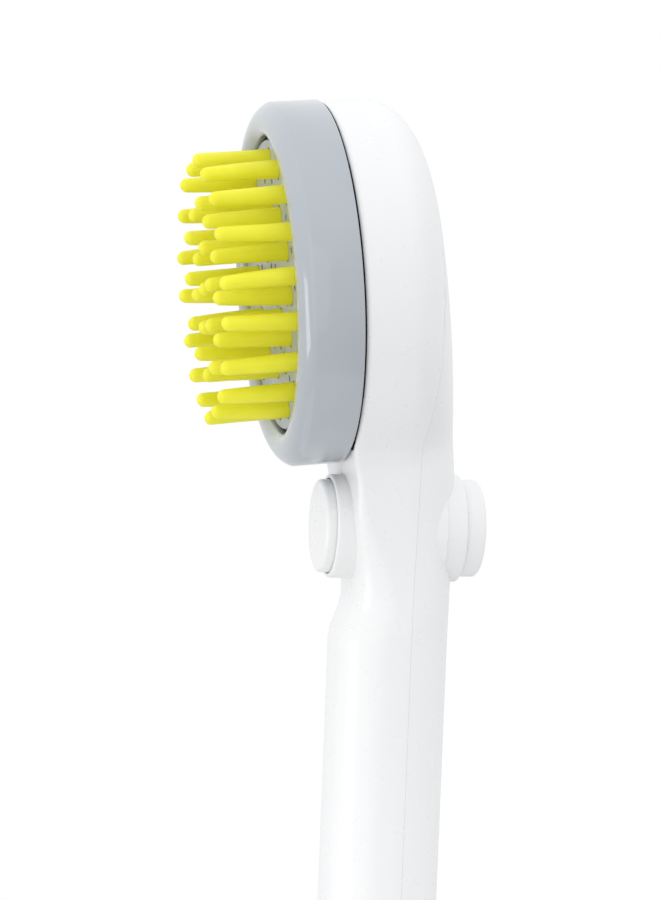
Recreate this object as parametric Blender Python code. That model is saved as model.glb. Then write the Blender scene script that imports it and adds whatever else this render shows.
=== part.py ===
"""Handheld bath sprayer for pets: white handle with a push-through shut-off valve, a tilted
round head with soft silicone fingers, and a twist-off bezel ring that holds the finger pad.

World frame in metres: +Z runs up the handle from the end of the hose inlet, -Y is the front
(fingers), X is across. The spray head leans forward, so it has its own frame: x across,
n behind the casing's front plane, v up along that plane from the head's centre.
"""

import math

import bmesh
import bpy
from mathutils import Matrix, Vector

MM = 0.001
GAP = 0.3            # clearance between pieces that are assembled with play
SEAL_GAP = 0.1       # clearance round a seal drawn at its free size

# Overall sizes, millimetres.
BUTTON_Z = 146.0     # height of the valve and its push buttons
NECK_GAP = 14.4      # from the buttons' axis up to the foot of the head's circle
HEAD_Y = -16.7       # the casing's front plane at the head's centre
HEAD_TILT = 5.5      # forward lean of the head, degrees
HEAD_R = 39.6        # casing radius round the head
GRIP_FRONT = 12.4    # handle's front, from its axis
GRIP_BACK = 13.2     # handle's back, from its axis
GRIP_HALF_WIDTH = 14.2
NECK_HALF_WIDTH = 17.5
NECK_FRONT = 11.4    # casing front just under the head
WALL = 2.4
GRIP_END_Z = 14.0    # lower end of the casing
PARTING_Y = 2.2      # plane where the two casing halves meet
CROWN_DROP = 14.0    # how far the back rounds in at the very top
BACK_SLOPE = 0.15    # the head's back comes forward by this much of its height
SIDE_STRAIGHT = 10.5  # straight side wall of the head before it rounds into the back
FRONT_EDGE = 1.3     # small rounding of the casing's front edge
HEAD_Z = BUTTON_Z + NECK_GAP + HEAD_R

# Bezel ring, water bowl and the plates inside them.
RING_STEP = 0.4      # the ring stands this far outside the casing
RING_FACE = 7.4      # width of the ring's front
RING_DEPTH = 13.5
RING_BEHIND = 0.5    # shadow gap between the ring and the casing
RING_SHOULDER = 4.8  # from the ring's side in to the crest of its front
RING_FALL = 3.2      # how far the front falls back from the crest to the side
LIP_FALL = 1.6       # and to the opening
RING_WALL = 3.4      # ring wall beside the bayonet
RING_TWIST = 28.0    # turn that frees the ring, degrees
LUG_HEIGHT = 1.7     # bayonet lugs on the bowl's collar
COLLAR_WALL = 2.1
BOWL_WALL = 2.0
PLATE_RECESS = 2.0   # face plate behind the ring's front
PLATE_RISE = 1.1     # raised middle of the plate, in front of the rim under the ring
PLATE_GROOVE = 0.8   # dark groove between the raised middle and the ring
PLATE_THICK = 2.9
PAD_THICK = 1.6
DIFFUSER_THICK = 1.6
BOWL_SEAL_R = 0.8
RING_R = HEAD_R + RING_STEP
RING_OPENING_R = RING_R - RING_FACE
RING_BORE_R = RING_R - RING_WALL
LUG_R = RING_BORE_R - GAP - 0.1
COLLAR_R = LUG_R - LUG_HEIGHT
POCKET_R = COLLAR_R - COLLAR_WALL  # pad, diffuser and seal sit inside the collar
PLATE_R = COLLAR_R - GAP
PLATE_MIDDLE_R = RING_OPENING_R - PLATE_GROOVE
BOWL_R = HEAD_R - WALL - GAP - 0.1

# Silicone fingers and spray holes.
FINGER_PITCH = 9.25  # from one circle of fingers to the next
CIRCLE_TURN = (5.5, 10.0, -5.5)  # degrees, outer, inner and middle circle
FINGER_BASE_R = 2.1
FINGER_TIP_R = 1.6
FINGER_LENGTH = 16.9  # beyond the face plate
SPRAY_HOLE_R = 0.8
FINGER_RINGS = int((POCKET_R - GAP - FINGER_BASE_R - 1.0) / FINGER_PITCH)

# Valve and buttons. The valve's sizes set the button that slides over its barrel.
COLLAR_FACE = 14.6   # front and rear button collars, from the axis
FRONT_PROUD = 2.4    # front button beyond its collar, pushed in
REAR_PROUD = 4.5     # rear button beyond its collar, pushed out
BUTTON_TRAVEL = 4.0
BUTTON_SKIRT = 1.85
BUTTON_COLLAR_WALL = 0.85
REAR_WIDER = 0.5     # rear button and collar, on the radius
SPOOL_BORE_R = 6.2
BARREL_WALL = 1.8
SPIGOT_R = 3.0       # spool ends that carry the buttons
SEAL_R = 0.75        # section radius of the spool's seals
MID_SEAL_Y = 2.1
FRONT_SEAL_Y = -6.4
BACK_SEAL_Y = 10.9
BARREL_R = SPOOL_BORE_R + BARREL_WALL
LAND_R = SPOOL_BORE_R - GAP
BUTTON_R = BARREL_R + 0.5 + BUTTON_SKIRT
BUTTON_COLLAR_R = BUTTON_R + GAP + BUTTON_COLLAR_WALL
FRONT_BUTTON_FACE = COLLAR_FACE + FRONT_PROUD
REAR_BUTTON_FACE = COLLAR_FACE + REAR_PROUD

# Water way.
TUBE_R = 5.5
TUBE_WALL = 1.5
UPPER_TUBE_R = 4.4
UPPER_TUBE_WALL = 1.3
THREAD_R = 10.48     # half-inch pipe thread
THREAD_LENGTH = 9.5
THREAD_PITCH = 1.814
INLET_BORE_R = 6.6
NIPPLE_NECK_R = 7.8
SOCKET_WALL = 1.6
VALVE_SOCKET_WALL = 1.3
BOSS_WALL = 1.2
SOCKET_R = TUBE_R + GAP
UPPER_SOCKET_R = UPPER_TUBE_R + GAP
UPPER_TUBE_Y = GRIP_BACK - WALL - 3.2 - UPPER_SOCKET_R - BOSS_WALL
FLANGE_R = min(GRIP_FRONT, GRIP_BACK) - 0.8
INNER_FLANGE_R = min(GRIP_FRONT, GRIP_BACK) - WALL - 1.4
INLET_SOCKET_TOP = GRIP_END_Z + 22.0
LOWER_TOP = BUTTON_Z - BARREL_R - 2.0
UPPER_LOW = BUTTON_Z + BARREL_R + 2.0
UPPER_TOP = HEAD_Z - BOWL_R + 6.2
BOSS_TOP = UPPER_TOP + 6.0
# Shallowest place of the finger notch: the casing's front closes round the valve's socket.
NOTCH_FRONT = SOCKET_R + VALVE_SOCKET_WALL + WALL + 0.1


# ---------------------------------------------------------------- scene and materials
for old in list(bpy.data.objects):
    bpy.data.objects.remove(old, do_unlink=True)


def material(name, colour, roughness, metallic=0.0):
    made = bpy.data.materials.new(name)
    made.use_nodes = True
    shader = made.node_tree.nodes["Principled BSDF"]
    shader.inputs["Base Color"].default_value = (*colour, 1.0)
    shader.inputs["Roughness"].default_value = roughness
    shader.inputs["Metallic"].default_value = metallic
    return made


WHITE = material("white_plastic", (0.90, 0.90, 0.90), 0.28)
BLUE_GREY = material("blue_grey_gloss", (0.44, 0.48, 0.54), 0.12)
PALE_GREY = material("pale_grey_plastic", (0.62, 0.65, 0.68), 0.35)
LIME = material("lime_silicone", (0.72, 0.74, 0.03), 0.42)
NATURAL = material("natural_plastic", (0.70, 0.70, 0.66), 0.40)
SEAL = material("black_rubber", (0.02, 0.02, 0.02), 0.60)
STEEL = material("stainless_mesh", (0.60, 0.60, 0.60), 0.30, 1.0)

TILT = math.radians(HEAD_TILT)
# Head frame: local X across, local Y out of the back (n), local Z up the plane (v).
HEAD_MATRIX = Matrix.Translation(Vector((0, HEAD_Y, HEAD_Z)) * MM) @ Matrix.Rotation(TILT, 4, "X")
# Lathe frames: the profile's height runs along +Z, and these turn it to an axis.
ALONG_Y = Matrix.Rotation(math.radians(-90), 4, "X")
ALONG_N = HEAD_MATRIX @ ALONG_Y
VALVE_MATRIX = Matrix.Translation(Vector((0, 0, BUTTON_Z)) * MM) @ ALONG_Y


# ---------------------------------------------------------------- making solids
def finish(name, bm, mat, matrix=None, smooth=True):
    bmesh.ops.remove_doubles(bm, verts=bm.verts, dist=1e-7)
    bmesh.ops.recalc_face_normals(bm, faces=bm.faces)
    mesh = bpy.data.meshes.new(name)
    bm.to_mesh(mesh)
    bm.free()
    made = bpy.data.objects.new(name, mesh)
    bpy.context.scene.collection.objects.link(made)
    made.matrix_world = matrix or Matrix.Identity(4)
    if mat:
        mesh.materials.append(mat)
    if smooth:
        mesh.shade_smooth()
        mesh.set_sharp_from_angle(angle=math.radians(35))
    return made


def turned(name, profile, mat, matrix=None, steps=32, closed=None):
    """Solid turned round its local Z from (radius, height) points, given in millimetres."""
    bm = bmesh.new()
    points = [bm.verts.new((r * MM, 0, h * MM)) for r, h in profile]
    edges = [bm.edges.new(pair) for pair in zip(points, points[1:])]
    if closed is None:
        closed = profile[0][0] > 0 and profile[-1][0] > 0
    if closed:
        edges.append(bm.edges.new((points[-1], points[0])))
    bmesh.ops.spin(
        bm, geom=points + edges, cent=(0, 0, 0), axis=(0, 0, 1),
        angle=math.tau, steps=steps, use_merge=True,
    )
    return finish(name, bm, mat, matrix)


def rod(name, radius, low, high, mat=None, matrix=None, steps=32):
    return turned(name, [(0, low), (radius, low), (radius, high), (0, high)], mat, matrix, steps)


def tube(name, outer, inner, low, high, mat=None, matrix=None, steps=32):
    profile = [(inner, low), (outer, low), (outer, high), (inner, high)]
    return turned(name, profile, mat, matrix, steps)


def seal(name, centre_r, section_r, height, matrix, steps=20, section_steps=6):
    profile = []
    for i in range(section_steps):
        a = math.tau * i / section_steps
        profile.append((centre_r + section_r * math.cos(a), height + section_r * math.sin(a)))
    return turned(name, profile, SEAL, matrix, steps)


def block(name, low, high, matrix=None):
    bm = bmesh.new()
    bmesh.ops.create_cube(bm, size=1.0)
    size = Vector(high) - Vector(low)
    middle = (Vector(high) + Vector(low)) / 2
    bmesh.ops.scale(bm, vec=size * MM, verts=bm.verts)
    bmesh.ops.translate(bm, vec=middle * MM, verts=bm.verts)
    return finish(name, bm, None, matrix, smooth=False)


def hidden(tool):
    tool.hide_render = True
    tool.display_type = "WIRE"
    return tool


def combine(target, tool, operation):
    step = target.modifiers.new(operation.lower(), "BOOLEAN")
    step.operation = operation
    step.solver = "EXACT"
    step.object = hidden(tool)
    return target


def cut(target, tool):
    return combine(target, tool, "DIFFERENCE")


def join(target, tool):
    return combine(target, tool, "UNION")


def several_rods(name, places, radius, low, high, matrix=None, steps=8):
    """Loose rods in one tool: they never touch, so one Boolean takes them all."""
    bm = bmesh.new()
    for x, y in places:
        base = Matrix.Translation(Vector((x, y, (low + high) / 2)) * MM)
        bmesh.ops.create_cone(
            bm, cap_ends=True, segments=steps, radius1=radius * MM, radius2=radius * MM,
            depth=(high - low) * MM, matrix=base,
        )
    return finish(name, bm, None, matrix)


def smooth_step(t):
    t = min(1.0, max(0.0, t))
    return t * t * (3 - 2 * t)


# ---------------------------------------------------------------- casing shape
def back_line(z):
    """Distance of the casing's back from the handle's axis at height z."""
    t = max(0.0, z - BUTTON_Z - 10)
    s = min(1.0, max(0.0, (z - HEAD_Z) / (HEAD_R + 0.6)))
    crown = CROWN_DROP * (1 - math.sqrt(1 - s ** 4))
    return GRIP_BACK - BACK_SLOPE * t * t / (t + 4) - crown


def front_line(z):
    """Position of the casing's front on Y below the head: neck, finger notch, then grip."""
    notch = BUTTON_Z - 15.0
    shoulder = BUTTON_Z - 25.5
    neck = NECK_FRONT + (NOTCH_FRONT - NECK_FRONT) * smooth_step((BUTTON_Z + 8 - z) / 20)
    grip = smooth_step((notch - z) / (notch - shoulder))
    return -(neck + (GRIP_FRONT - neck) * grip)


def half_width(z, radius):
    """Half width across X: the head's circle blended into the neck and the grip."""
    neck = GRIP_HALF_WIDTH + (NECK_HALF_WIDTH - GRIP_HALF_WIDTH) * smooth_step(
        (z - BUTTON_Z + 18) / 40
    )
    neck -= HEAD_R - radius
    v = (z - HEAD_Z) / math.cos(TILT)
    if v > 0:
        return math.sqrt(max(0.0, radius ** 2 - v ** 2))
    circle = math.sqrt(max(0.0, radius ** 2 - v ** 2))
    return (circle ** 7 + neck ** 7) ** (1 / 7)


def section(z, lean, front_y, inset, edge, straight, corner_steps=3, back_steps=8):
    """One closed section: flat front with rounded edges, straight sides, crowned back."""
    w = half_width(z, HEAD_R - inset)
    depth = (back_line(z) - front_y) / math.cos(lean) - 2 * inset
    edge = min(max(edge - inset, 0.4), 0.8 * w, 0.45 * depth)
    straight = min(max(straight - inset, edge), 0.7 * depth)
    half = [(0.0, 0.0)]
    for i in range(corner_steps):
        a = math.pi / 2 * i / (corner_steps - 1)
        half.append((w - edge + edge * math.sin(a), edge - edge * math.cos(a)))
    for i in range(back_steps):
        a = math.pi / 2 * i / (back_steps - 1)
        x = w * max(0.0, math.cos(a))
        half.append((x, straight + (depth - straight) * math.sin(a) + 0.02))
    half[-1] = (0.0, half[-1][1])
    other = [(-x, d) for x, d in reversed(half[1:-1])]
    out = []
    for x, d in half + other:
        y = front_y + (inset + d) * math.cos(lean)
        out.append(Vector((x, y, z + (inset + d) * math.sin(lean))) * MM)
    return out


def casing_sections(inset, low_end, coarse):
    """Sections from the top of the head down to the lower end of the handle."""
    sections = []
    top_steps = 8 if coarse else 12
    radius = HEAD_R - inset
    for i in range(top_steps + 1):
        angle = math.radians(86 - 86 * i / top_steps)
        v = radius * math.sin(angle)
        z = HEAD_Z + v * math.cos(TILT)
        y = HEAD_Y - v * math.sin(TILT)
        sections.append(section(z, TILT, y, inset, FRONT_EDGE, SIDE_STRAIGHT))
    z = HEAD_Z
    while z > low_end + 1e-6:
        if z > BUTTON_Z - 30:
            z -= 6.6 if coarse else 4.7
        else:
            z -= 35.0 if coarse else 17.0
        z = max(z, low_end)
        lean = TILT * smooth_step((z - BUTTON_Z) / 22)
        plane = HEAD_Y + (HEAD_Z - z) * math.tan(TILT)
        mix = smooth_step((z - (BUTTON_Z + 8)) / 10)
        y = plane * mix + front_line(z) * (1 - mix)
        round_off = smooth_step((BUTTON_Z + 12 - z) / 34)
        edge = FRONT_EDGE + (GRIP_FRONT - 3.0 - FRONT_EDGE) * round_off
        straight = SIDE_STRAIGHT + (GRIP_FRONT - SIDE_STRAIGHT) * round_off
        sections.append(section(z, lean, y, inset, edge, straight))
    return sections


def loft(name, sections, mat=None):
    bm = bmesh.new()
    loops = [[bm.verts.new(p) for p in ring] for ring in sections]
    for upper, lower in zip(loops, loops[1:]):
        count = len(upper)
        for i in range(count):
            j = (i + 1) % count
            bm.faces.new((upper[i], upper[j], lower[j], lower[i]))
    bm.faces.new(loops[0])
    bm.faces.new(list(reversed(loops[-1])))
    return finish(name, bm, mat)


def casing_cavity():
    """The hollow, crossed by bulkheads that hold the water tubes."""
    cavity = loft("cavity_tool", casing_sections(WALL, GRIP_END_Z + 3.0, True))
    free = LOWER_TOP - 11 - INLET_SOCKET_TOP
    for i in (1, 2):
        z = INLET_SOCKET_TOP + free * i / 3
        cut(cavity, block(f"bulkhead_tool_{i}", (-60, -60, z - 1), (60, 60, z + 1)))
    return hidden(cavity)


def button_collar(name, side):
    """Raised collar round a button; its foot flares into the casing."""
    face = COLLAR_FACE * side
    outer = BUTTON_COLLAR_R + (REAR_WIDER if side > 0 else 0.0)
    flare = 1.3 if side > 0 else 0.3
    profile = [
        (0, 6.0 * side), (outer + flare, 6.0 * side),
        (outer + 0.75 * flare, 10.6 * side), (outer, 12.4 * side),
        (outer, face - 0.4 * side), (outer - 0.4, face), (0, face),
    ]
    return turned(name, profile, None, VALVE_MATRIX, 40)


def casing_half(name, side):
    """side -1 is the deep front half, side 1 the rear cover."""
    half = loft(name, casing_sections(0.0, GRIP_END_Z, False), WHITE)
    join(half, button_collar(f"{name}_collar_tool", side))
    cut(half, CAVITY)
    bore = BUTTON_R + GAP + (REAR_WIDER if side > 0 else 0.0)
    span = (4.0, 30.0) if side > 0 else (-30.0, -4.0)
    cut(half, rod(f"{name}_button_bore_tool", bore, *span, matrix=VALVE_MATRIX, steps=36))
    cut(half, TUBE_PATH)
    cut(half, NIPPLE_PATH)
    if side < 0:
        cut(half, HEAD_OPENING)
        cut(half, block(f"{name}_parting_tool", (-60, PARTING_Y - GAP / 2, -10), (60, 60, 300)))
    else:
        cut(half, block(f"{name}_parting_tool", (-60, -60, -10), (60, PARTING_Y + GAP / 2, 300)))
    return half


CAVITY = casing_cavity()
TUBE_PATH = hidden(rod("tube_path_tool", TUBE_R + GAP, GRIP_END_Z + 4, LOWER_TOP - 14, steps=24))
NIPPLE_PATH = hidden(rod("nipple_path_tool", NIPPLE_NECK_R + GAP, -5, GRIP_END_Z + 8, steps=32))
HEAD_OPENING = hidden(
    rod("head_opening_tool", COLLAR_R + GAP, -6, WALL + 0.6, matrix=ALONG_N, steps=64)
)
casing_half("front_casing", -1)
casing_half("rear_casing", 1)


# ---------------------------------------------------------------- hose inlet
def thread_profile():
    """Outline of the inlet from its mouth up, with ridges at the thread's pitch."""
    crest, root = THREAD_R, THREAD_R - 1.1
    outline = [(INLET_BORE_R, 0.0), (root, 0.0)]
    z = 0.35
    while z + THREAD_PITCH < THREAD_LENGTH:
        outline += [(root, z), (crest, z + 0.35 * THREAD_PITCH), (crest, z + 0.5 * THREAD_PITCH)]
        outline.append((root, z + 0.85 * THREAD_PITCH))
        z += THREAD_PITCH
    return outline


inlet = thread_profile() + [
    (THREAD_R - 1.1, THREAD_LENGTH), (FLANGE_R, THREAD_LENGTH),
    (FLANGE_R, GRIP_END_Z - GAP), (NIPPLE_NECK_R, GRIP_END_Z - GAP),
    (NIPPLE_NECK_R, GRIP_END_Z + 3.0 + GAP), (INNER_FLANGE_R, GRIP_END_Z + 3.0 + GAP),
    (INNER_FLANGE_R, GRIP_END_Z + 6.0), (SOCKET_R + SOCKET_WALL, GRIP_END_Z + 8.0),
    (SOCKET_R + SOCKET_WALL, INLET_SOCKET_TOP), (SOCKET_R, INLET_SOCKET_TOP),
    (SOCKET_R, GRIP_END_Z + 7.0), (TUBE_R - TUBE_WALL, GRIP_END_Z + 7.0),
    (TUBE_R - TUBE_WALL, GRIP_END_Z + 2.5), (INLET_BORE_R, GRIP_END_Z + 2.5),
]
turned("inlet_nipple", inlet, NATURAL, steps=20, closed=True)

screen = rod("inlet_screen", INLET_BORE_R - GAP, GRIP_END_Z - 5.0, GRIP_END_Z - 4.1, STEEL)
spots = [(0.0, 0.0)]
for ring_index in (1, 2):
    for k in range(6 * ring_index):
        a = math.tau * k / (6 * ring_index)
        r = (INLET_BORE_R - GAP) * 0.365 * ring_index
        spots.append((r * math.cos(a), r * math.sin(a)))
cut(screen, several_rods("screen_holes_tool", spots, 0.9, GRIP_END_Z - 6, GRIP_END_Z - 3, steps=4))

regulator = rod("flow_regulator", INLET_BORE_R - GAP, GRIP_END_Z - 3.0, GRIP_END_Z + 2.2, PALE_GREY)
hole_circle = (INLET_BORE_R - GAP) * 0.57
spots = [(hole_circle * math.cos(math.tau * k / 6), hole_circle * math.sin(math.tau * k / 6))
         for k in range(6)]
cut(regulator, several_rods("regulator_holes_tool", spots, 0.9, GRIP_END_Z - 4, GRIP_END_Z + 3))


# ---------------------------------------------------------------- water tubes
def grooved_tube(name, outer, wall, low, high, grooves, matrix, root):
    """Tube with a seal groove near each end that enters a socket."""
    outline = [(outer - wall, low), (outer, low)]
    for g in grooves:
        outline += [(outer, g - 1.0), (root, g - 1.0), (root, g + 1.0), (outer, g + 1.0)]
    outline += [(outer, high), (outer - wall, high)]
    return turned(name, outline, NATURAL, matrix, 20)


def at(y):
    return Matrix.Translation(Vector((0, y, 0)) * MM)


lower_root = TUBE_R - 1.1
lower_low = GRIP_END_Z + 7.0 + GAP
lower_grooves = (lower_low + 5.7, LOWER_TOP - 5.0)
grooved_tube("lower_tube", TUBE_R, TUBE_WALL, lower_low, LOWER_TOP, lower_grooves, at(0),
             lower_root)
section_r = (SOCKET_R - lower_root) / 2 - SEAL_GAP
middle_r = (SOCKET_R + lower_root) / 2
seal("inlet_seal", middle_r, section_r, lower_grooves[0], at(0))
seal("lower_tube_seal", middle_r, section_r, lower_grooves[1], at(0))

upper_root = UPPER_TUBE_R - 0.9
grooves = (UPPER_LOW + 2.6, UPPER_TOP - 2.6)
place = at(UPPER_TUBE_Y)
grooved_tube("upper_tube", UPPER_TUBE_R, UPPER_TUBE_WALL, UPPER_LOW, UPPER_TOP, grooves, place,
             upper_root)
section_r = (UPPER_SOCKET_R - upper_root) / 2 - SEAL_GAP
middle_r = (UPPER_SOCKET_R + upper_root) / 2
seal("upper_tube_seal", middle_r, section_r, grooves[0], place)
seal("bowl_inlet_seal", middle_r, section_r, grooves[1], place)


# ---------------------------------------------------------------- shut-off valve
BARREL_FRONT = FRONT_SEAL_Y - BUTTON_TRAVEL - 0.8
BARREL_BACK = BACK_SEAL_Y + 1.5
valve = rod("valve_body", BARREL_R, BARREL_FRONT, BARREL_BACK, NATURAL, VALVE_MATRIX, 36)
join(valve, rod("valve_lower_socket_tool", SOCKET_R + VALVE_SOCKET_WALL, LOWER_TOP - 11,
                BUTTON_Z - 0.7, steps=28))
join(valve, rod("valve_upper_socket_tool", UPPER_SOCKET_R + BOSS_WALL, BUTTON_Z + 0.9, UPPER_LOW + 6,
                matrix=at(UPPER_TUBE_Y), steps=28))
cut(valve, rod("valve_bore_tool", SPOOL_BORE_R, BARREL_FRONT - 9, BARREL_BACK + 8,
               matrix=VALVE_MATRIX, steps=36))
cut(valve, rod("valve_lower_bore_tool", SOCKET_R, LOWER_TOP - 13, LOWER_TOP + 0.3, steps=28))
cut(valve, rod("valve_upper_bore_tool", UPPER_SOCKET_R, UPPER_LOW - 0.3, UPPER_LOW + 8,
               matrix=at(UPPER_TUBE_Y), steps=28))
cut(valve, rod("valve_in_port_tool", 1.2, LOWER_TOP - 2, BUTTON_Z - 0.5, matrix=at(-0.2), steps=12))
cut(valve, rod("valve_out_port_tool", 1.2, BUTTON_Z + 0.6, UPPER_LOW + 2, matrix=at(4.2), steps=12))

SEAL_ROOT_R = SPOOL_BORE_R - 2 * SEAL_R - 2 * SEAL_GAP
spool_front = -(FRONT_BUTTON_FACE - 1.8)
spool_back = REAR_BUTTON_FACE - 1.8
outline = [(0, spool_front), (SPIGOT_R, spool_front), (SPIGOT_R, FRONT_SEAL_Y - 2.6)]
for middle in (FRONT_SEAL_Y, MID_SEAL_Y, BACK_SEAL_Y):
    half_groove = SEAL_R + SEAL_GAP
    outline += [
        (LAND_R if middle == FRONT_SEAL_Y else 3.6, middle - 2.6 + 0.6 * (middle != FRONT_SEAL_Y)),
        (LAND_R, middle - 2.0), (LAND_R, middle - half_groove), (SEAL_ROOT_R, middle - half_groove),
        (SEAL_ROOT_R, middle + half_groove), (LAND_R, middle + half_groove), (LAND_R, middle + 2.0),
    ]
    if middle != BACK_SEAL_Y:
        outline.append((3.6, middle + 2.0))
outline += [(SPIGOT_R, BACK_SEAL_Y + 2.0), (SPIGOT_R, spool_back), (0, spool_back)]
turned("valve_spool", outline, PALE_GREY, VALVE_MATRIX, 16, closed=False)
for label, middle in (("front", FRONT_SEAL_Y), ("middle", MID_SEAL_Y), ("rear", BACK_SEAL_Y)):
    seal(f"spool_seal_{label}", SPOOL_BORE_R - SEAL_GAP - SEAL_R, SEAL_R, middle, VALVE_MATRIX)


def button(name, face, skirt_end, hub_end):
    """Round cap with a skirt that slides in its collar and a hub on the spool's end."""
    side = 1 if face > 0 else -1
    skirt_r = BARREL_R + 0.5
    hub_r = SPIGOT_R + 1.6
    outer = BUTTON_R + (REAR_WIDER if side > 0 else 0.0)
    profile = [
        (0, face - 1.5 * side), (SPIGOT_R + SEAL_GAP, face - 1.5 * side),
        (SPIGOT_R + SEAL_GAP, hub_end), (hub_r, hub_end), (hub_r, face - 2.2 * side),
        (skirt_r, face - 2.2 * side), (skirt_r, skirt_end), (outer, skirt_end),
        (outer, face - 1.2 * side), (outer - 0.35, face - 0.35 * side),
        (outer - 1.2, face), (0, face),
    ]
    return turned(name, profile, WHITE, VALVE_MATRIX, 28, closed=False)


# The skirts reach past the collars' mouths and stop short of the valve's sockets.
button("front_button", -FRONT_BUTTON_FACE, -(SOCKET_R + VALVE_SOCKET_WALL + 1.5),
       BARREL_FRONT - 0.4)
rear_skirt = UPPER_TUBE_Y + UPPER_SOCKET_R + BOSS_WALL + BUTTON_TRAVEL + GAP
button("rear_button", REAR_BUTTON_FACE, rear_skirt, BARREL_BACK + BUTTON_TRAVEL + GAP)


# ---------------------------------------------------------------- spray head
RING_BACK = -RING_BEHIND
RING_FRONT = RING_BACK - RING_DEPTH
PLATE_FRONT = RING_FRONT + PLATE_RECESS
PLATE_RIM = PLATE_FRONT + PLATE_RISE
PLATE_BACK = PLATE_FRONT + PLATE_THICK
PAD_BACK = PLATE_BACK + 0.1 + PAD_THICK
DIFFUSER_BACK = PAD_BACK + 0.1 + DIFFUSER_THICK
COLLAR_TOP = PLATE_BACK + 0.15
# The bowl's back stays clear of the tube that rises behind its lower edge.
BOWL_BACK = (UPPER_TUBE_Y - UPPER_TUBE_R - 1.0 - HEAD_Y - BOWL_R * math.sin(TILT))


def circles(pitch, rings):
    """One finger in the middle and circles of 6, 12, 18 round it."""
    places = [(0.0, 0.0)]
    for ring_index in range(1, rings + 1):
        count = 6 * ring_index
        for k in range(count):
            a = math.tau * k / count + math.radians(CIRCLE_TURN[ring_index % 3])
            places.append((ring_index * pitch * math.cos(a), ring_index * pitch * math.sin(a)))
    return places


FINGERS = circles(FINGER_PITCH, FINGER_RINGS)


def spray_places():
    """Water holes on circles halfway between the circles of fingers."""
    places = []
    for ring_index in range(FINGER_RINGS):
        count = 6 * (ring_index + 1)
        radius = (ring_index + 0.5) * FINGER_PITCH
        for k in range(count):
            a = math.tau * (k + 0.5 * (ring_index % 2)) / count
            places.append((radius * math.cos(a), radius * math.sin(a)))
    return places


SPRAY = spray_places()


def face_rods(name, places, radius, low, high, steps):
    """Rods through the head's flat pieces. ALONG_N turns local -Y to v."""
    flipped = [(x, -v) for x, v in places]
    return several_rods(name, flipped, radius, low, high, ALONG_N, steps)


plate = turned(
    "face_plate",
    [(0, PLATE_FRONT), (PLATE_MIDDLE_R, PLATE_FRONT), (PLATE_MIDDLE_R, PLATE_RIM),
     (PLATE_R, PLATE_RIM), (PLATE_R, PLATE_BACK), (0, PLATE_BACK)],
    PALE_GREY, ALONG_N, 48,
)
cut(plate, face_rods("finger_holes_tool", FINGERS, FINGER_BASE_R + GAP,
                     PLATE_FRONT - 1, PLATE_BACK + 1, 8))
cut(plate, face_rods("spray_holes_tool", SPRAY, SPRAY_HOLE_R, PLATE_FRONT - 1, PLATE_BACK + 1, 6))


def finger_bodies(name):
    """Tapered fingers with rounded tips, rooted inside the pad's sheet."""
    tip_end = PLATE_FRONT - FINGER_LENGTH
    shape = [
        (FINGER_BASE_R, PAD_BACK - 0.6), (FINGER_BASE_R, PLATE_FRONT - 0.2),
        (FINGER_TIP_R, tip_end + 0.7 * FINGER_TIP_R),
    ]
    steps = 8
    bm = bmesh.new()
    for x, v in FINGERS:
        rings = []
        for r, n in shape:
            angles = [math.tau * (k + 0.5) / steps for k in range(steps)]
            around = [(x + r * math.cos(a), -v + r * math.sin(a), n) for a in angles]
            rings.append([bm.verts.new(Vector(p) * MM) for p in around])
        for lower, upper in zip(rings, rings[1:]):
            for k in range(steps):
                j = (k + 1) % steps
                bm.faces.new((lower[k], lower[j], upper[j], upper[k]))
        bm.faces.new(rings[0])
        end = bm.verts.new(Vector((x, -v, tip_end)) * MM)
        for k in range(steps):
            bm.faces.new((rings[-1][k], rings[-1][(k + 1) % steps], end))
    return finish(name, bm, None, ALONG_N)


pad = rod("finger_pad", POCKET_R - GAP, PLATE_BACK + 0.1, PAD_BACK, LIME, ALONG_N, 40)
join(pad, finger_bodies("fingers_tool"))
cut(pad, face_rods("pad_holes_tool", SPRAY, SPRAY_HOLE_R + 0.3, PLATE_BACK - 1, PAD_BACK + 1, 6))

# Rigid plate behind the pad; its wide holes lie behind the pad's water holes.
diffuser = rod("diffuser_plate", POCKET_R - GAP, PAD_BACK + 0.1, DIFFUSER_BACK, NATURAL, ALONG_N,
               40)
spots = [(0.0, 0.0)]
for k in range(6):
    a = math.tau * (k + 0.5) / 6
    spots.append((0.47 * POCKET_R * math.cos(a), 0.47 * POCKET_R * math.sin(a)))
cut(diffuser, face_rods("diffuser_holes_tool", spots, 0.16 * POCKET_R, PAD_BACK - 1, DIFFUSER_BACK + 1, 14))

# Water bowl: a collar through the casing's opening, and a dish behind the front wall.
SEAT = DIFFUSER_BACK + 2 * SEAL_GAP + 2 * BOWL_SEAL_R
bowl_front = WALL + GAP
outline = [
    (POCKET_R, COLLAR_TOP), (COLLAR_R, COLLAR_TOP), (COLLAR_R, bowl_front), (BOWL_R, bowl_front),
    (BOWL_R, BOWL_BACK - 3), (BOWL_R - 3, BOWL_BACK), (0, BOWL_BACK),
    (0, BOWL_BACK - BOWL_WALL), (BOWL_R - 6, BOWL_BACK - BOWL_WALL), (POCKET_R - 2.4, 4.0),
    (POCKET_R - 2.4, SEAT), (POCKET_R, SEAT),
]
outline = [outline[6]] + outline[5::-1] + outline[:6:-1]
bowl = turned("water_bowl", outline, NATURAL, ALONG_N, 40, closed=False)
passage_z = BOSS_TOP - 3.4
floor_y = HEAD_Y + BOWL_BACK / math.cos(TILT) + (HEAD_Z - passage_z) * math.tan(TILT)
passage = Matrix.Translation(Vector((0, 0, passage_z)) * MM) @ ALONG_Y
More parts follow.
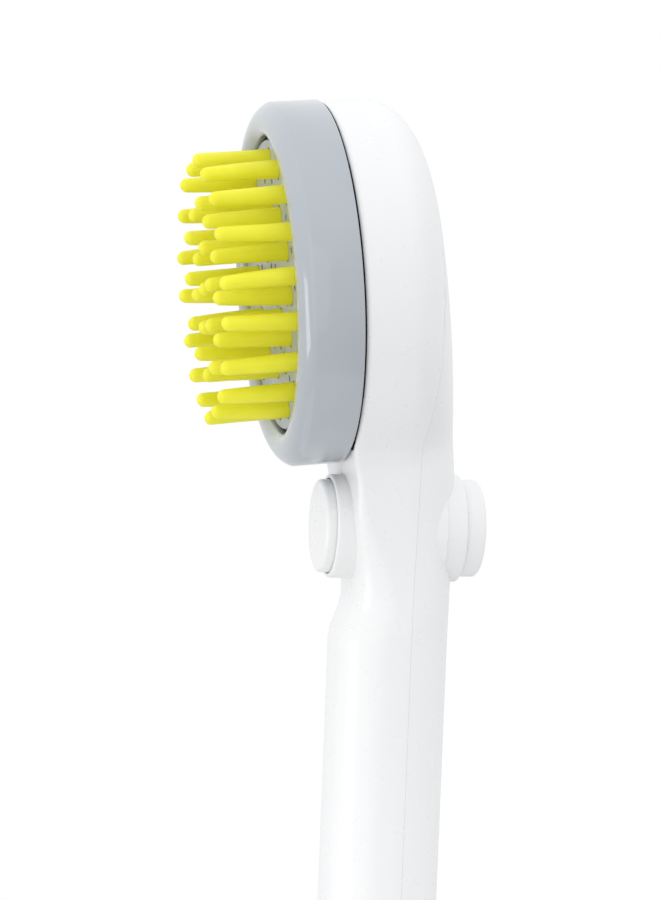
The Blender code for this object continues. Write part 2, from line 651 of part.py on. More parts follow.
boss = rod("bowl_boss_tool", UPPER_SOCKET_R + BOSS_WALL, UPPER_TOP - 7, BOSS_TOP,
           matrix=place, steps=24)
join(boss, rod("bowl_bridge_tool", 3.2, floor_y - 1.1, UPPER_TUBE_Y, matrix=passage, steps=16))
join(bowl, boss)
cut(bowl, rod("bowl_boss_bore_tool", UPPER_SOCKET_R, UPPER_TOP - 9, UPPER_TOP + 0.4,
              matrix=place, steps=24))
cut(bowl, rod("bowl_throat_tool", UPPER_TUBE_R - UPPER_TUBE_WALL, UPPER_TOP - 1, BOSS_TOP - 1.2,
              matrix=place, steps=16))
cut(bowl, rod("bowl_passage_tool", 1.9, floor_y - BOWL_WALL - 3, UPPER_TUBE_Y, matrix=passage,
              steps=12))


def lugs(name, inner, outer, low, high, turn):
    """Three bayonet lugs as ring sectors, 24 degrees each."""
    bm = bmesh.new()
    for k in range(3):
        angles = [math.radians(turn + 120 * k - 12 + 6 * i) for i in range(5)]
        loops = []
        for height in (low, high):
            loop = [(outer, a) for a in angles] + [(inner, a) for a in reversed(angles)]
            loops.append([
                bm.verts.new(Vector((r * math.cos(a), r * math.sin(a), height)) * MM)
                for r, a in loop
            ])
        count = len(loops[0])
        for i in range(count):
            j = (i + 1) % count
            bm.faces.new((loops[0][i], loops[0][j], loops[1][j], loops[1][i]))
        bm.faces.new(loops[0])
        bm.faces.new(loops[1])
    return finish(name, bm, None, ALONG_N)


join(bowl, lugs("bowl_lugs_tool", COLLAR_R - 0.5, LUG_R, COLLAR_TOP + 0.4, COLLAR_TOP + 2.4, 90))

seal("bowl_seal", POCKET_R - 1.2, BOWL_SEAL_R, SEAT - SEAL_GAP - BOWL_SEAL_R, ALONG_N, 32)


def crest(reach, fall, side):
    """Arc from the ring's crest out to its side (1) or in to its opening (-1)."""
    radius = (reach ** 2 + fall ** 2) / (2 * fall)
    widest = math.asin(reach / radius)
    points = []
    for i in range(4):
        a = widest * i / 3
        points.append((RING_R - RING_SHOULDER + side * radius * math.sin(a),
                       RING_FRONT + radius * (1 - math.cos(a))))
    return points


# Bezel ring, origin on its turning axis.
outline = [(RING_BORE_R, RING_BACK), (RING_R - 0.4, RING_BACK), (RING_R, RING_BACK - 0.4)]
outline += crest(RING_SHOULDER, RING_FALL, 1)[::-1]
outline += crest(RING_FACE - RING_SHOULDER, LIP_FALL, -1)[1:]
outline += [(RING_OPENING_R, PLATE_RIM - GAP), (RING_BORE_R, PLATE_RIM - GAP)]
ring = turned("bezel_ring", outline, BLUE_GREY, ALONG_N, 48)
join(ring, lugs("ring_lugs_tool", COLLAR_R + 0.4, RING_BORE_R + 0.5, COLLAR_TOP + 2.8,
                COLLAR_TOP + 4.6, 90))
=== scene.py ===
"""Handheld bath sprayer for pets, dressed for its studio view."""

import math

import bmesh
import bpy
from mathutils import Matrix, Vector


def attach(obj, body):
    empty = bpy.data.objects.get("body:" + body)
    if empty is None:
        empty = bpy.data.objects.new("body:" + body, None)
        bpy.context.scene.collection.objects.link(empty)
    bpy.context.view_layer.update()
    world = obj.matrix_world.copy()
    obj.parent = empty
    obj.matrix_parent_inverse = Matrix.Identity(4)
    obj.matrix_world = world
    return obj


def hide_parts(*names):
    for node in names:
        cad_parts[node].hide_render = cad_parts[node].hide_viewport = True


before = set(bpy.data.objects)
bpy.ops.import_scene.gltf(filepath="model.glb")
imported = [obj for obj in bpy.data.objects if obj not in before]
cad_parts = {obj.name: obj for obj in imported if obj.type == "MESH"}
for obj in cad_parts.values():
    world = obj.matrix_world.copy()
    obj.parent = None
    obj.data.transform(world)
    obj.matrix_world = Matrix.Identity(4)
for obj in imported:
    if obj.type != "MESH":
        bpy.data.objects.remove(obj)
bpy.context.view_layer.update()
mm = 0.001


# ---------------------------------------------------------------------------
# Studio: a white sweep all round, dimmer below than above, one large window
# light low in front of the head, and a wide weak fill at the side.
# ---------------------------------------------------------------------------
view_settings = bpy.context.scene.view_settings
view_settings.view_transform = "Standard"
view_settings.look = "None"
view_settings.exposure = 0.0
view_settings.gamma = 1.0

studio = bpy.data.worlds.new("studio_white")
bpy.context.scene.world = studio
studio.use_nodes = True
wn, wl = studio.node_tree.nodes, studio.node_tree.links
wn.clear()
w_out = wn.new("ShaderNodeOutputWorld")
w_mix = wn.new("ShaderNodeMixShader")
w_path = wn.new("ShaderNodeLightPath")
w_seen = wn.new("ShaderNodeBackground")
w_light = wn.new("ShaderNodeBackground")
w_seen.inputs["Color"].default_value = (1.0, 1.0, 1.0, 1.0)
w_seen.inputs["Strength"].default_value = 1.0
w_light.inputs["Color"].default_value = (0.98, 0.99, 1.0, 1.0)
w_way = wn.new("ShaderNodeTexCoord")
w_split = wn.new("ShaderNodeSeparateXYZ")
w_height = wn.new("ShaderNodeMapRange")
w_height.inputs["From Min"].default_value = -1.0
w_height.inputs["From Max"].default_value = 1.0
w_height.inputs["To Min"].default_value = 0.50
w_height.inputs["To Max"].default_value = 1.28
wl.new(w_way.outputs["Generated"], w_split.inputs["Vector"])
wl.new(w_split.outputs["Z"], w_height.inputs["Value"])
wl.new(w_height.outputs["Result"], w_light.inputs["Strength"])
wl.new(w_path.outputs["Is Camera Ray"], w_mix.inputs["Fac"])
wl.new(w_light.outputs["Background"], w_mix.inputs[1])
wl.new(w_seen.outputs["Background"], w_mix.inputs[2])
wl.new(w_mix.outputs["Shader"], w_out.inputs["Surface"])


def softbox(name, place, aim, wide, high, power):
    lamp = bpy.data.lights.new(name, "AREA")
    lamp.shape = "RECTANGLE"
    lamp.size, lamp.size_y = wide, high
    lamp.energy = power
    box = bpy.data.objects.new(name, lamp)
    bpy.context.scene.collection.objects.link(box)
    box.location = place
    toward = Vector(aim) - Vector(place)
    box.rotation_euler = toward.to_track_quat("-Z", "Y").to_euler()
    return box


softbox("low_front_window", (0.12, -0.95, -0.10), (0, 0, 0.19), 0.34, 0.50, 1.6)
softbox("side_fill", (0.95, -0.55, 0.12), (0, 0, 0.16), 1.1, 1.1, 1.6)

# Pale table top under the hose inlet.
bpy.ops.object.select_all(action="DESELECT")
bpy.ops.mesh.primitive_circle_add(vertices=96, radius=0.16, fill_type="NGON",
                                  location=(0, 0, -0.0015))
table = bpy.context.object
table.name = "studio_table"
bpy.ops.object.transform_apply(location=True, rotation=True, scale=True)

# The camera looks a little from the front of the square side view, and from
# slightly above.
camera_data = bpy.data.cameras.new("studio_camera")
camera = bpy.data.objects.new("studio_camera", camera_data)
bpy.context.scene.collection.objects.link(camera)
bpy.context.scene.camera = camera
azimuth, elevation, roll = math.radians(78.0), math.radians(4.0), math.radians(2.2)
distance = 0.70
aim = Vector((-3.0, -14.1, 162.6)) * mm
back = Vector((math.sin(azimuth) * math.cos(elevation),
               -math.cos(azimuth) * math.cos(elevation), math.sin(elevation)))
camera.rotation_mode = "QUATERNION"
turn = (-back).to_track_quat("-Z", "Y")
camera.rotation_quaternion = turn @ Matrix.Rotation(roll, 3, "Z").to_quaternion()
camera.location = aim + back * distance
camera_data.sensor_width = 36.0
camera_data.lens = 36.0 * distance / 0.200
camera_data.clip_start, camera_data.clip_end = 0.01, 20.0


# ---------------------------------------------------------------------------
# White moulded plastic of the casing and the buttons: bright and semi-gloss,
# with the faint waviness and fine grain that a moulding keeps from its tool.
# ---------------------------------------------------------------------------
def new_finish(name):
    """A material with its shader and an Object coordinate to hang patterns on."""
    made = bpy.data.materials.new(name)
    made.use_nodes = True
    tree = made.node_tree
    shader = tree.nodes["Principled BSDF"]
    place = tree.nodes.new("ShaderNodeTexCoord")
    return made, tree, shader, place.outputs["Object"]


def cloud(tree, place, scale, detail=2.0, rough=0.5):
    """Soft three-dimensional blotches; scale is in blotches per metre."""
    made = tree.nodes.new("ShaderNodeTexNoise")
    made.inputs["Scale"].default_value = scale
    made.inputs["Detail"].default_value = detail
    made.inputs["Roughness"].default_value = rough
    tree.links.new(place, made.inputs["Vector"])
    return made.outputs["Fac"]


def between(tree, value, low, high):
    """Stretches the middle of a cloud to run from low to high."""
    made = tree.nodes.new("ShaderNodeMapRange")
    made.inputs["From Min"].default_value = 0.3
    made.inputs["From Max"].default_value = 0.7
    made.inputs["To Min"].default_value = low
    made.inputs["To Max"].default_value = high
    tree.links.new(value, made.inputs["Value"])
    return made.outputs["Result"]


def two_tone(tree, value, first, second):
    made = tree.nodes.new("ShaderNodeMix")
    made.data_type = "RGBA"
    made.inputs["A"].default_value = (*first, 1.0)
    made.inputs["B"].default_value = (*second, 1.0)
    tree.links.new(value, made.inputs["Factor"])
    return made.outputs["Result"]


def relief(tree, value, depth, strength=1.0, onto=None):
    made = tree.nodes.new("ShaderNodeBump")
    made.inputs["Strength"].default_value = strength
    made.inputs["Distance"].default_value = depth
    tree.links.new(value, made.inputs["Height"])
    if onto is not None:
        tree.links.new(onto, made.inputs["Normal"])
    return made.outputs["Normal"]


white, tree, shader, place = new_finish("white_moulding")
tone = between(tree, cloud(tree, place, 45.0, 3.0), 0.0, 1.0)
tree.links.new(two_tone(tree, tone, (0.846, 0.848, 0.848), (0.856, 0.856, 0.854)),
               shader.inputs["Base Color"])
gloss = between(tree, cloud(tree, place, 260.0, 2.0), 0.27, 0.31)
tree.links.new(gloss, shader.inputs["Roughness"])
wavy = relief(tree, cloud(tree, place, 40.0, 1.0), 0.00002)
grain = relief(tree, cloud(tree, place, 900.0, 1.0), 0.000002, 0.2, wavy)
tree.links.new(grain, shader.inputs["Normal"])
shader.inputs["IOR"].default_value = 1.49
shader.inputs["Subsurface Weight"].default_value = 0.03
shader.inputs["Subsurface Radius"].default_value = (0.004, 0.004, 0.004)


# ---------------------------------------------------------------------------
# Casing: two white mouldings welded on a plane a little behind the handle's
# axis. The front half carries the head's rim and the front button's collar;
# the rear half is a shallow cover with the rear collar.
# ---------------------------------------------------------------------------
tilt = math.radians(5.5)
head_place = Vector((0, -16.7, 200.0))
head_turn = Matrix.Translation(head_place * mm) @ Matrix.Rotation(tilt, 4, "X")
head_radius = 39.6
button_height = 146.0
grip_front, grip_back, grip_half_width, wall = 12.4, 13.2, 14.2, 2.4
handle_end, parting = 14.0, 2.2


def ease(t):
    t = min(1.0, max(0.0, t))
    return t * t * (3 - 2 * t)


def back_of(z):
    """The back: straight up the handle, leaning forward over the head, round on top."""
    t = max(0.0, z - button_height - 10)
    s = min(1.0, max(0.0, (z - head_place.z) / (head_radius + 0.6)))
    return grip_back - 0.15 * t * t / (t + 4) - 14.0 * (1 - math.sqrt(1 - s ** 4))


def front_of(z):
    """The front below the head: neck, finger notch under the button, then grip."""
    neck = 11.4 + (9.6 - 11.4) * ease((button_height + 8 - z) / 20)
    grip = ease((button_height - 15 - z) / 10.5)
    return -(neck + (grip_front - neck) * grip)


def half_width_of(z, radius):
    neck = grip_half_width + 3.3 * ease((z - button_height + 18) / 40)
    neck -= head_radius - radius
    v = (z - head_place.z) / math.cos(tilt)
    circle = math.sqrt(max(0.0, radius ** 2 - v ** 2))
    return circle if v > 0 else (circle ** 7 + neck ** 7) ** (1 / 7)


def casing_ring(z, lean, front, inset, edge, straight, corner, crown):
    """Points round the casing at one height: flat front, straight sides, domed back."""
    w = half_width_of(z, head_radius - inset)
    depth = (back_of(z) - front) / math.cos(lean) - 2 * inset
    edge = min(max(edge - inset, 0.4), 0.8 * w, 0.45 * depth)
    straight = min(max(straight - inset, edge), 0.7 * depth)
    half = [(0.0, 0.0)]
    for i in range(corner):
        a = math.pi / 2 * i / (corner - 1)
        half.append((w - edge + edge * math.sin(a), edge - edge * math.cos(a)))
    for i in range(crown):
        a = math.pi / 2 * i / (crown - 1)
        half.append((w * max(0.0, math.cos(a)), straight + (depth - straight) * math.sin(a) + 0.02))
    half[-1] = (0.0, half[-1][1])
    every = half + [(-x, d) for x, d in reversed(half[1:-1])]
    points = []
    for x, d in every:
        run = inset + d
        points.append(Vector((x, front + run * math.cos(lean), z + run * math.sin(lean))) * mm)
    return points


def casing_rings(inset, low_end, top_count, fine, coarse, corner, crown):
    rings = []
    radius = head_radius - inset
    for i in range(top_count + 1):
        angle = math.radians(87 - 87 * i / top_count)
        v = radius * math.sin(angle)
        z = head_place.z + v * math.cos(tilt)
        front = head_place.y - v * math.sin(tilt)
        rings.append(casing_ring(z, tilt, front, inset, 1.3, 10.5, corner, crown))
    z = head_place.z
    while z > low_end + 1e-6:
        z = max(z - (fine if z > button_height - 32 else coarse), low_end)
        lean = tilt * ease((z - button_height) / 22)
        plane = head_place.y + (head_place.z - z) * math.tan(tilt)
        mix = ease((z - (button_height + 8)) / 10)
        front = plane * mix + front_of(z) * (1 - mix)
        rounder = ease((button_height + 12 - z) / 34)
        edge = 1.3 + (grip_front - 4.3) * rounder
        straight = 10.5 + (grip_front - 10.5) * rounder
        rings.append(casing_ring(z, lean, front, inset, edge, straight, corner, crown))
    return rings


def lone(piece):
    """Only this piece selected and active."""
    bpy.ops.object.select_all(action="DESELECT")
    piece.select_set(True)
    bpy.context.view_layer.objects.active = piece


def drawn_out(name, rings):
    """Draws a closed form out of one face, extruding it from ring to ring."""
    bpy.ops.object.select_all(action="DESELECT")
    bpy.ops.mesh.primitive_circle_add(vertices=len(rings[0]), radius=0.01, fill_type="NGON")
    piece = bpy.context.object
    piece.name = name
    bpy.ops.object.mode_set(mode="EDIT")
    for i, ring in enumerate(rings):
        if i:
            bpy.ops.mesh.extrude_region_move()
        bm = bmesh.from_edit_mesh(piece.data)
        end = next(f for f in bm.faces if f.select)
        for corner, point in zip(end.verts, ring):
            corner.co = point
        bmesh.update_edit_mesh(piece.data)
    bpy.ops.mesh.select_all(action="SELECT")
    bpy.ops.mesh.normals_make_consistent(inside=False)
    bpy.ops.object.mode_set(mode="OBJECT")
    return piece


def turned(name, profile, matrix, steps=96):
    """A round form: its outline drawn as one face and spun round its own axis."""
    bpy.ops.object.select_all(action="DESELECT")
    bpy.ops.mesh.primitive_circle_add(vertices=len(profile), radius=0.01)
    piece = bpy.context.object
    piece.name = name
    for corner, (r, h) in zip(piece.data.vertices, profile):
        corner.co = Vector((r, 0, h)) * mm
    bpy.ops.object.mode_set(mode="EDIT")
    bpy.ops.mesh.select_all(action="SELECT")
    bpy.ops.mesh.spin(steps=steps, angle=math.tau, center=(0, 0, 0), axis=(0, 0, 1))
    bpy.ops.mesh.select_all(action="SELECT")
    bpy.ops.mesh.remove_doubles(threshold=1e-6)
    bpy.ops.mesh.delete_loose(use_verts=True, use_edges=True, use_faces=False)
    bpy.ops.mesh.select_all(action="SELECT")
    bpy.ops.mesh.normals_make_consistent(inside=False)
    bpy.ops.object.mode_set(mode="OBJECT")
    piece.data.transform(matrix)
    piece.data.update()
    return piece


def carve(piece, tool, how="DIFFERENCE"):
    """Cuts or welds a tool shape into a piece and throws the tool away."""
    lone(piece)
    step = piece.modifiers.new("carve", "BOOLEAN")
    step.operation = how
    step.solver = "EXACT"
    step.object = tool
    bpy.ops.object.modifier_apply(modifier=step.name)
    bpy.data.objects.remove(tool, do_unlink=True)
    return piece


def fitted(piece, material, body, slot, *nodes, angle=30):
    """Shades a finished piece, gives it its material and seats it on its body."""
    lone(piece)
    bpy.ops.object.transform_apply(location=True, rotation=True, scale=True)
    bpy.ops.object.shade_smooth_by_angle(angle=math.radians(angle))
    piece.data.materials.clear()
    piece.data.materials.append(material)
    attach(piece, body)
    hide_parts(*nodes)
    return piece


valve_turn = Matrix.Translation(Vector((0, 0, button_height)) * mm) @ Matrix.Rotation(
    math.radians(-90), 4, "X")
head_lathe = head_turn @ Matrix.Rotation(math.radians(-90), 4, "X")


def slab(name, low, high):
    size = Vector(high) - Vector(low)
    middle = (Vector(high) + Vector(low)) / 2
    bpy.ops.object.select_all(action="DESELECT")
    bpy.ops.mesh.primitive_cube_add(size=1.0, location=middle * mm, scale=size * mm)
    made = bpy.context.object
    made.name = name
    return made


def plug(name, radius, low, high, matrix, steps=96):
    return turned(name, [(0, low), (radius, low), (radius, high), (0, high)], matrix, steps)


# Black rubber of the seals. The same black also serves as painted shade: it is put on the faces in
# the shadow gaps round the bezel ring.
rubber_and_gap_shade, tree, shader, place = new_finish("seal_rubber_and_gap_shade")
tone = between(tree, cloud(tree, place, 600.0, 3.0), 0.0, 1.0)
tree.links.new(two_tone(tree, tone, (0.012, 0.012, 0.012), (0.03, 0.03, 0.03)),
               shader.inputs["Base Color"])
tree.links.new(between(tree, cloud(tree, place, 1500.0, 3.0), 0.5, 0.7),
               shader.inputs["Roughness"])


def paint_gap_shade(piece, low, high, inner, outer):
    """Paints the flat faces of one ring-shaped seat on the head in the seals' black, as painted
    shade for the dark shadow gap there.
    """
    piece.data.materials.append(rubber_and_gap_shade)
    back_to_head = head_lathe.inverted()
    for face in piece.data.polygons:
        spot = back_to_head @ face.center
        reach = math.hypot(spot.x, spot.y) / mm
        forward = -(back_to_head.to_3x3() @ face.normal).z
        if low <= spot.z / mm <= high and inner <= reach <= outer and forward > 0.5:
            face.material_index = 1


for name, node, side in (("casing_front", "front_casing", -1), ("casing_rear", "rear_casing", 1)):
    shell = drawn_out(name, casing_rings(0.0, handle_end, 26, 2.4, 12.0, 8, 22))
    # Collar round the button: a drum with a soft lip, flaring at its foot.
    face = 14.6 * side
    outer, flare = (11.5, 0.25) if side < 0 else (12.0, 1.3)
    collar = [(0, 5.0 * side), (outer + flare, 5.0 * side)]
    for i in range(7):
        a = math.pi / 2 * i / 6
        collar.append((outer + flare * (1 - math.sin(a)), (12.6 - 3.0 * math.cos(a)) * side))
    for i in range(5):
        a = math.pi / 2 * i / 4
        collar.append((outer - 0.5 + 0.5 * math.cos(a), face - (0.5 - 0.5 * math.sin(a)) * side))
    collar.append((0, face))
    carve(shell, turned("collar", collar, valve_turn, 80), "UNION")
    hollow = drawn_out("hollow", casing_rings(wall, handle_end + 3.0, 10, 7.0, 30.0, 3, 9))
    carve(shell, hollow)
    reach = (4.0, 30.0) if side > 0 else (-30.0, -4.0)
    carve(shell, plug("button_bore", 10.65 if side < 0 else 11.15, *reach, valve_turn, 80))
    carve(shell, plug("nipple_path", 8.1, -5, handle_end + 8, Matrix.Identity(4), 64))
    if side < 0:
        carve(shell, plug("head_opening", 34.8, -6, 3.0, head_lathe, 112))
        carve(shell, slab("parting", (-60, parting - 0.015, -10), (60, 60, 300)))
    else:
        carve(shell, slab("parting", (-60, -60, -10), (60, parting + 0.015, 300)))
    fitted(shell, white, "handle", "white_plastic", node)
    if side < 0:
        # Painted shade: the casing's front face behind the bezel ring is turned black for the
        # shadow gap under the ring.
        paint_gap_shade(shell, -0.1, 0.1, 34.0, 38.7)


# ---------------------------------------------------------------------------
# Push buttons: two white caps on the ends of the valve's spool, each with a
# soft rim and a shallow dish for the thumb.
# ---------------------------------------------------------------------------
for name, node, radius, face, skirt in (("button_front", "front_button", 10.35, -17.0, -8.6),
                                        ("button_rear", "rear_button", 10.85, 19.1, 11.9)):
    side = 1 if face > 0 else -1
    outline = [(8.5, skirt), (radius, skirt)]
    for i in range(7):
        a = math.pi / 2 * i / 6
        outline.append((radius - 1.0 + 1.0 * math.cos(a), face - (1.0 - 1.0 * math.sin(a)) * side))
    for i in range(1, 7):
        r = 8.9 * (1 - i / 6)
        outline.append((r, face - 0.22 * side * (1 - (r / 8.9) ** 2)))
    outline += [(0, face - 2.2 * side), (8.5, face - 2.2 * side)]
    cap = turned(name, outline, valve_turn, 96)
    fitted(cap, white, "valve_slide", "white_plastic", node)


# ---------------------------------------------------------------------------
# Finger pad: one lime silicone moulding, a round sheet with tapered fingers
# on circles round a middle one. The fingers are soft, so no two point quite the same way.
# ---------------------------------------------------------------------------
lime, tree, shader, place = new_finish("lime_silicone")
tone = between(tree, cloud(tree, place, 130.0, 3.0), 0.0, 1.0)
tree.links.new(two_tone(tree, tone, (0.86, 0.82, 0.030), (0.92, 0.88, 0.045)),
               shader.inputs["Base Color"])
gloss = between(tree, cloud(tree, place, 900.0, 3.0), 0.34, 0.50)
tree.links.new(gloss, shader.inputs["Roughness"])
soft = relief(tree, cloud(tree, place, 420.0, 2.0), 0.00005)
tree.links.new(soft, shader.inputs["Normal"])
shader.inputs["IOR"].default_value = 1.41
shader.inputs["Subsurface Weight"].default_value = 0.25
shader.inputs["Subsurface Radius"].default_value = (0.003, 0.003, 0.0008)

pitch = 9.25
plate_front, plate_rim, plate_back, pad_back = -12.0, -10.9, -9.1, -7.4
finger_length = 16.9
circle_turn = (5.5, 10.0, -5.5)
finger_places = [(0.0, 0.0)]
for circle in (1, 2, 3):
    for k in range(6 * circle):
        a = math.tau * k / (6 * circle) + math.radians(circle_turn[circle % 3])
        finger_places.append((circle * pitch * math.cos(a), circle * pitch * math.sin(a)))

pad = plug("finger_pad", 32.1, plate_back + 0.1, pad_back, head_lathe, 96)
outline = [(0, -8.0), (2.1, -8.0), (2.1, plate_front - 0.2)]
for i in range(1, 6):
    t = i / 6
    outline.append((2.1 + (1.62 - 2.1) * t, plate_front - 0.2 - (finger_length - 1.8) * t))
for i in range(7):
    a = math.pi / 2 * i / 6
    outline.append((1.6 * math.cos(a), plate_front - finger_length + 1.6 * (1 - math.sin(a))))
model = turned("finger", outline[:-1] + [(0, plate_front - finger_length)],
               Matrix.Identity(4), 20)
fingers = []
for number, (x, v) in enumerate(finger_places):
    finger = model.copy()
    finger.data = model.data.copy()
    bpy.context.scene.collection.objects.link(finger)
    around = 2.399963 * number
    sway = 0.9 * (0.35 + 0.65 * ((number * 0.618) % 1.0))
    for corner in finger.data.vertices:
        n = corner.co.z / mm
        bend = max(0.0, (plate_front - n) / finger_length) ** 1.6
        corner.co.x += (x + sway * math.cos(around) * bend) * mm
        corner.co.y += (-v + sway * math.sin(around) * bend) * mm
    finger.data.transform(head_lathe)
    fingers.append(finger)
bpy.data.objects.remove(model, do_unlink=True)
bpy.ops.object.select_all(action="DESELECT")
for finger in fingers:
    finger.select_set(True)
bpy.context.view_layer.objects.active = fingers[0]
bpy.ops.object.join()
carve(pad, fingers[0], "UNION")
fitted(pad, lime, "handle", "lime_silicone", "finger_pad", angle=40)


# ---------------------------------------------------------------------------
# Face plate: pale grey, recessed in the ring, with a hole for every finger
# and finer spray holes in the triangles between them.
# ---------------------------------------------------------------------------
pale, tree, shader, place = new_finish("pale_grey_moulding")
tone = between(tree, cloud(tree, place, 90.0, 3.0), 0.0, 1.0)
tree.links.new(two_tone(tree, tone, (0.36, 0.39, 0.42), (0.41, 0.44, 0.47)),
               shader.inputs["Base Color"])
gloss = between(tree, cloud(tree, place, 700.0, 3.0), 0.30, 0.42)
tree.links.new(gloss, shader.inputs["Roughness"])
tree.links.new(relief(tree, cloud(tree, place, 3000.0, 2.0), 0.00002),
               shader.inputs["Normal"])
shader.inputs["IOR"].default_value = 1.5

outline = [(0, plate_front), (31.4, plate_front), (31.7, plate_front + 0.1),
           (31.8, plate_front + 0.4), (31.8, plate_rim), (34.2, plate_rim),
           (34.2, plate_back), (0, plate_back)]
plate = turned("face_plate", outline, head_lathe, 112)


def drill(piece, places, radius, steps):
    tools = []
    for x, v in places:
        centre = head_turn @ (Vector((x, -10.2, v)) * mm)
        bpy.ops.object.select_all(action="DESELECT")
        bpy.ops.mesh.primitive_cylinder_add(
            vertices=steps, radius=radius * mm, depth=8 * mm, location=centre,
            rotation=(tilt - math.pi / 2, 0, 0))
        tools.append(bpy.context.object)
    bpy.ops.object.select_all(action="DESELECT")
    for tool in tools:
        tool.select_set(True)
    bpy.context.view_layer.objects.active = tools[0]
    bpy.ops.object.join()
    return carve(piece, tools[0])


drill(plate, finger_places, 2.35, 24)
spray = []
for circle in range(3):
    for k in range(6 * circle + 6):
        a = math.tau * (k + 0.5 * (circle % 2)) / (6 * circle + 6)
        radius = (circle + 0.5) * pitch
        spray.append((radius * math.cos(a), radius * math.sin(a)))
drill(plate, spray, 0.8, 12)
fitted(plate, pale, "handle", "pale_grey_plastic", "face_plate")
# Painted shade: the plate's rim step inside the ring is turned black for the shadow gap between
# ring and plate.
paint_gap_shade(plate, plate_rim - 0.1, plate_rim + 0.1, 31.7, 34.3)


# ---------------------------------------------------------------------------
# Bezel ring: polished blue-grey plastic, a drum whose front bows out to a
# crest and falls away on both sides of it. The bayonet lugs that hold it on the bowl's collar are
# not drawn.
# ---------------------------------------------------------------------------
blue_grey, tree, shader, place = new_finish("blue_grey_gloss")
tone = between(tree, cloud(tree, place, 55.0, 3.0), 0.0, 1.0)
tree.links.new(two_tone(tree, tone, (0.415, 0.445, 0.482), (0.435, 0.465, 0.502)),
               shader.inputs["Base Color"])
gloss = between(tree, cloud(tree, place, 400.0, 3.0), 0.10, 0.18)
tree.links.new(gloss, shader.inputs["Roughness"])
tree.links.new(relief(tree, cloud(tree, place, 70.0, 1.0), 0.00003),
               shader.inputs["Normal"])
shader.inputs["IOR"].default_value = 1.5
shader.inputs["Coat Weight"].default_value = 0.4
shader.inputs["Coat Roughness"].default_value = 0.05

ring_back, ring_front = -0.5, -14.0
outline = [(36.6, ring_back), (39.6, ring_back)]
for i in range(5):
    a = math.pi / 2 * i / 4
    outline.append((39.5 + 0.5 * math.sin(a), ring_back - 0.5 + 0.5 * math.cos(a)))
crest, fall, lip_fall, opening = 35.2, 3.2, 1.6, 32.6
for reach, drop, way in ((40.0 - crest, fall, 1), (crest - opening, lip_fall, -1)):
    bow = (reach ** 2 + drop ** 2) / (2 * drop)
    widest = math.asin(reach / bow)
    arc = []
    for i in range(13):
        a = widest * i / 12
        arc.append((crest + way * bow * math.sin(a), ring_front + bow * (1 - math.cos(a))))
    outline += arc[::-1] if way > 0 else arc[1:]
outline += [(opening, plate_rim - 0.3), (36.6, plate_rim - 0.3)]
ring = turned("bezel_ring", outline, head_lathe, 160)
fitted(ring, blue_grey, "ring", "blue_grey_plastic", "bezel_ring")


# ---------------------------------------------------------------------------
# Finishes of the inner pieces: unpigmented plastic, faintly milky, and the
# brushed steel of the strainer.
# ---------------------------------------------------------------------------
natural, tree, shader, place = new_finish("natural_moulding")
tone = between(tree, cloud(tree, place, 80.0, 3.0), 0.0, 1.0)
tree.links.new(two_tone(tree, tone, (0.66, 0.66, 0.61), (0.73, 0.73, 0.69)),
               shader.inputs["Base Color"])
tree.links.new(between(tree, cloud(tree, place, 500.0, 3.0), 0.34, 0.48),
               shader.inputs["Roughness"])
tree.links.new(relief(tree, cloud(tree, place, 2500.0, 2.0), 0.00002),
               shader.inputs["Normal"])
shader.inputs["Subsurface Weight"].default_value = 0.1
shader.inputs["Subsurface Radius"].default_value = (0.003, 0.003, 0.003)

steel, tree, shader, place = new_finish("strainer_steel")
tone = between(tree, cloud(tree, place, 900.0, 3.0), 0.0, 1.0)
tree.links.new(two_tone(tree, tone, (0.50, 0.50, 0.50), (0.64, 0.64, 0.63)),
               shader.inputs["Base Color"])
tree.links.new(between(tree, cloud(tree, place, 2200.0, 3.0), 0.22, 0.4),
               shader.inputs["Roughness"])
shader.inputs["Metallic"].default_value = 1.0

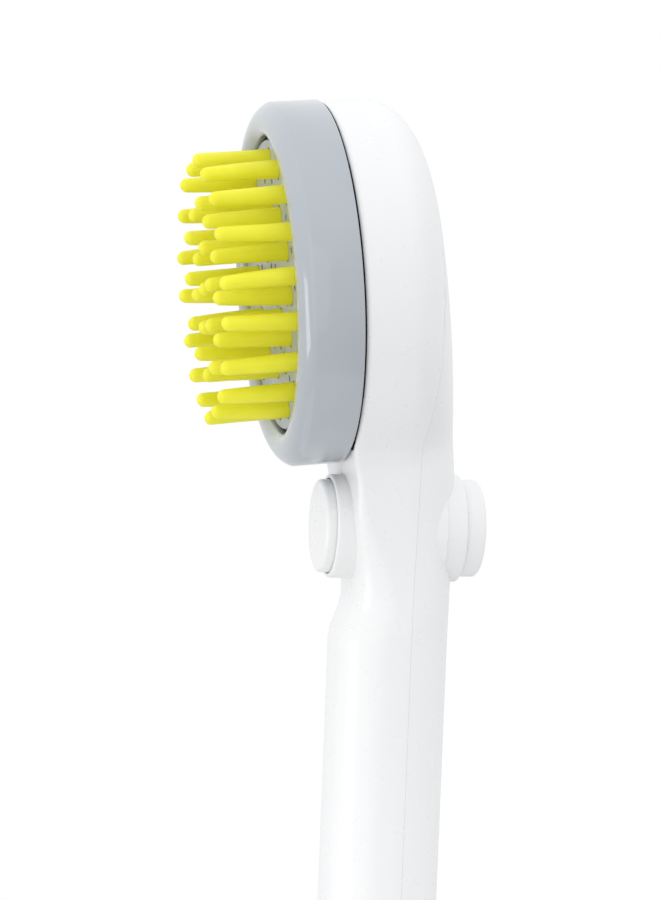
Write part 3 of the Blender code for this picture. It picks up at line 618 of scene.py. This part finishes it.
# ---------------------------------------------------------------------------
# Hose inlet: a turned body of unpigmented plastic, held by its two flanges in
# the casing's end, with a half-inch thread wound round its lower end.
# ---------------------------------------------------------------------------
thread_radius, thread_pitch, thread_length, flange = 10.48, 1.814, 9.5, 11.6
root = thread_radius - 1.1
outline = [(6.6, 0.0), (root - 0.3, 0.0), (root, 0.3), (root, thread_length),
           (flange - 0.4, thread_length), (flange, thread_length + 0.4),
           (flange, 13.3), (flange - 0.4, 13.7), (7.8, 13.7), (7.8, 17.3), (8.6, 17.3),
           (8.6, 20.0), (7.4, 22.0), (7.4, 35.7), (7.1, 36.0), (6.1, 36.0), (5.8, 35.7),
           (5.8, 21.0), (4.0, 21.0), (4.0, 16.5), (6.6, 16.5)]
inlet = turned("inlet_nipple_body", outline, Matrix.Identity(4), 96)
bpy.ops.object.select_all(action="DESELECT")
bpy.ops.mesh.primitive_circle_add(vertices=4, radius=0.001)
ridge = bpy.context.object
ridge.name = "thread_ridge"
for corner, (r, h) in zip(ridge.data.vertices, ((root - 0.5, 0.55), (thread_radius, 1.02),
                                                (thread_radius, 1.28), (root - 0.5, 1.75))):
    corner.co = Vector((r, 0, h)) * mm
wind = ridge.modifiers.new("wind", "SCREW")
wind.axis, wind.angle, wind.screw_offset = "Z", math.tau, thread_pitch * mm
wind.iterations, wind.steps, wind.render_steps = 4, 64, 64
lone(ridge)
bpy.ops.object.modifier_apply(modifier=wind.name)
bpy.ops.object.mode_set(mode="EDIT")
bpy.ops.mesh.select_all(action="SELECT")
bpy.ops.mesh.remove_doubles(threshold=1e-7)
bpy.ops.mesh.fill_holes(sides=6)
bpy.ops.mesh.select_all(action="SELECT")
bpy.ops.mesh.normals_make_consistent(inside=False)
bpy.ops.object.mode_set(mode="OBJECT")
carve(inlet, ridge, "UNION")
fitted(inlet, natural, "handle", "natural_plastic", "inlet_nipple")


# ---------------------------------------------------------------------------
# Pieces shown as the CAD drew them: water bowl, valve, tubes and plates in
# unpigmented plastic, rubber seals, and the steel strainer.
# ---------------------------------------------------------------------------
for node, finish in (
    ("lower_tube", natural), ("upper_tube", natural),
    ("valve_body", natural), ("water_bowl", natural), ("diffuser_plate", natural),
    ("valve_spool", pale), ("flow_regulator", pale), ("inlet_screen", steel),
    ("inlet_seal", rubber_and_gap_shade), ("lower_tube_seal", rubber_and_gap_shade), ("upper_tube_seal", rubber_and_gap_shade),
    ("bowl_inlet_seal", rubber_and_gap_shade), ("spool_seal_front", rubber_and_gap_shade),
    ("spool_seal_middle", rubber_and_gap_shade), ("spool_seal_rear", rubber_and_gap_shade), ("bowl_seal", rubber_and_gap_shade),
):
    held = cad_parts[node].data
    held.materials.clear()
    held.materials.append(finish)
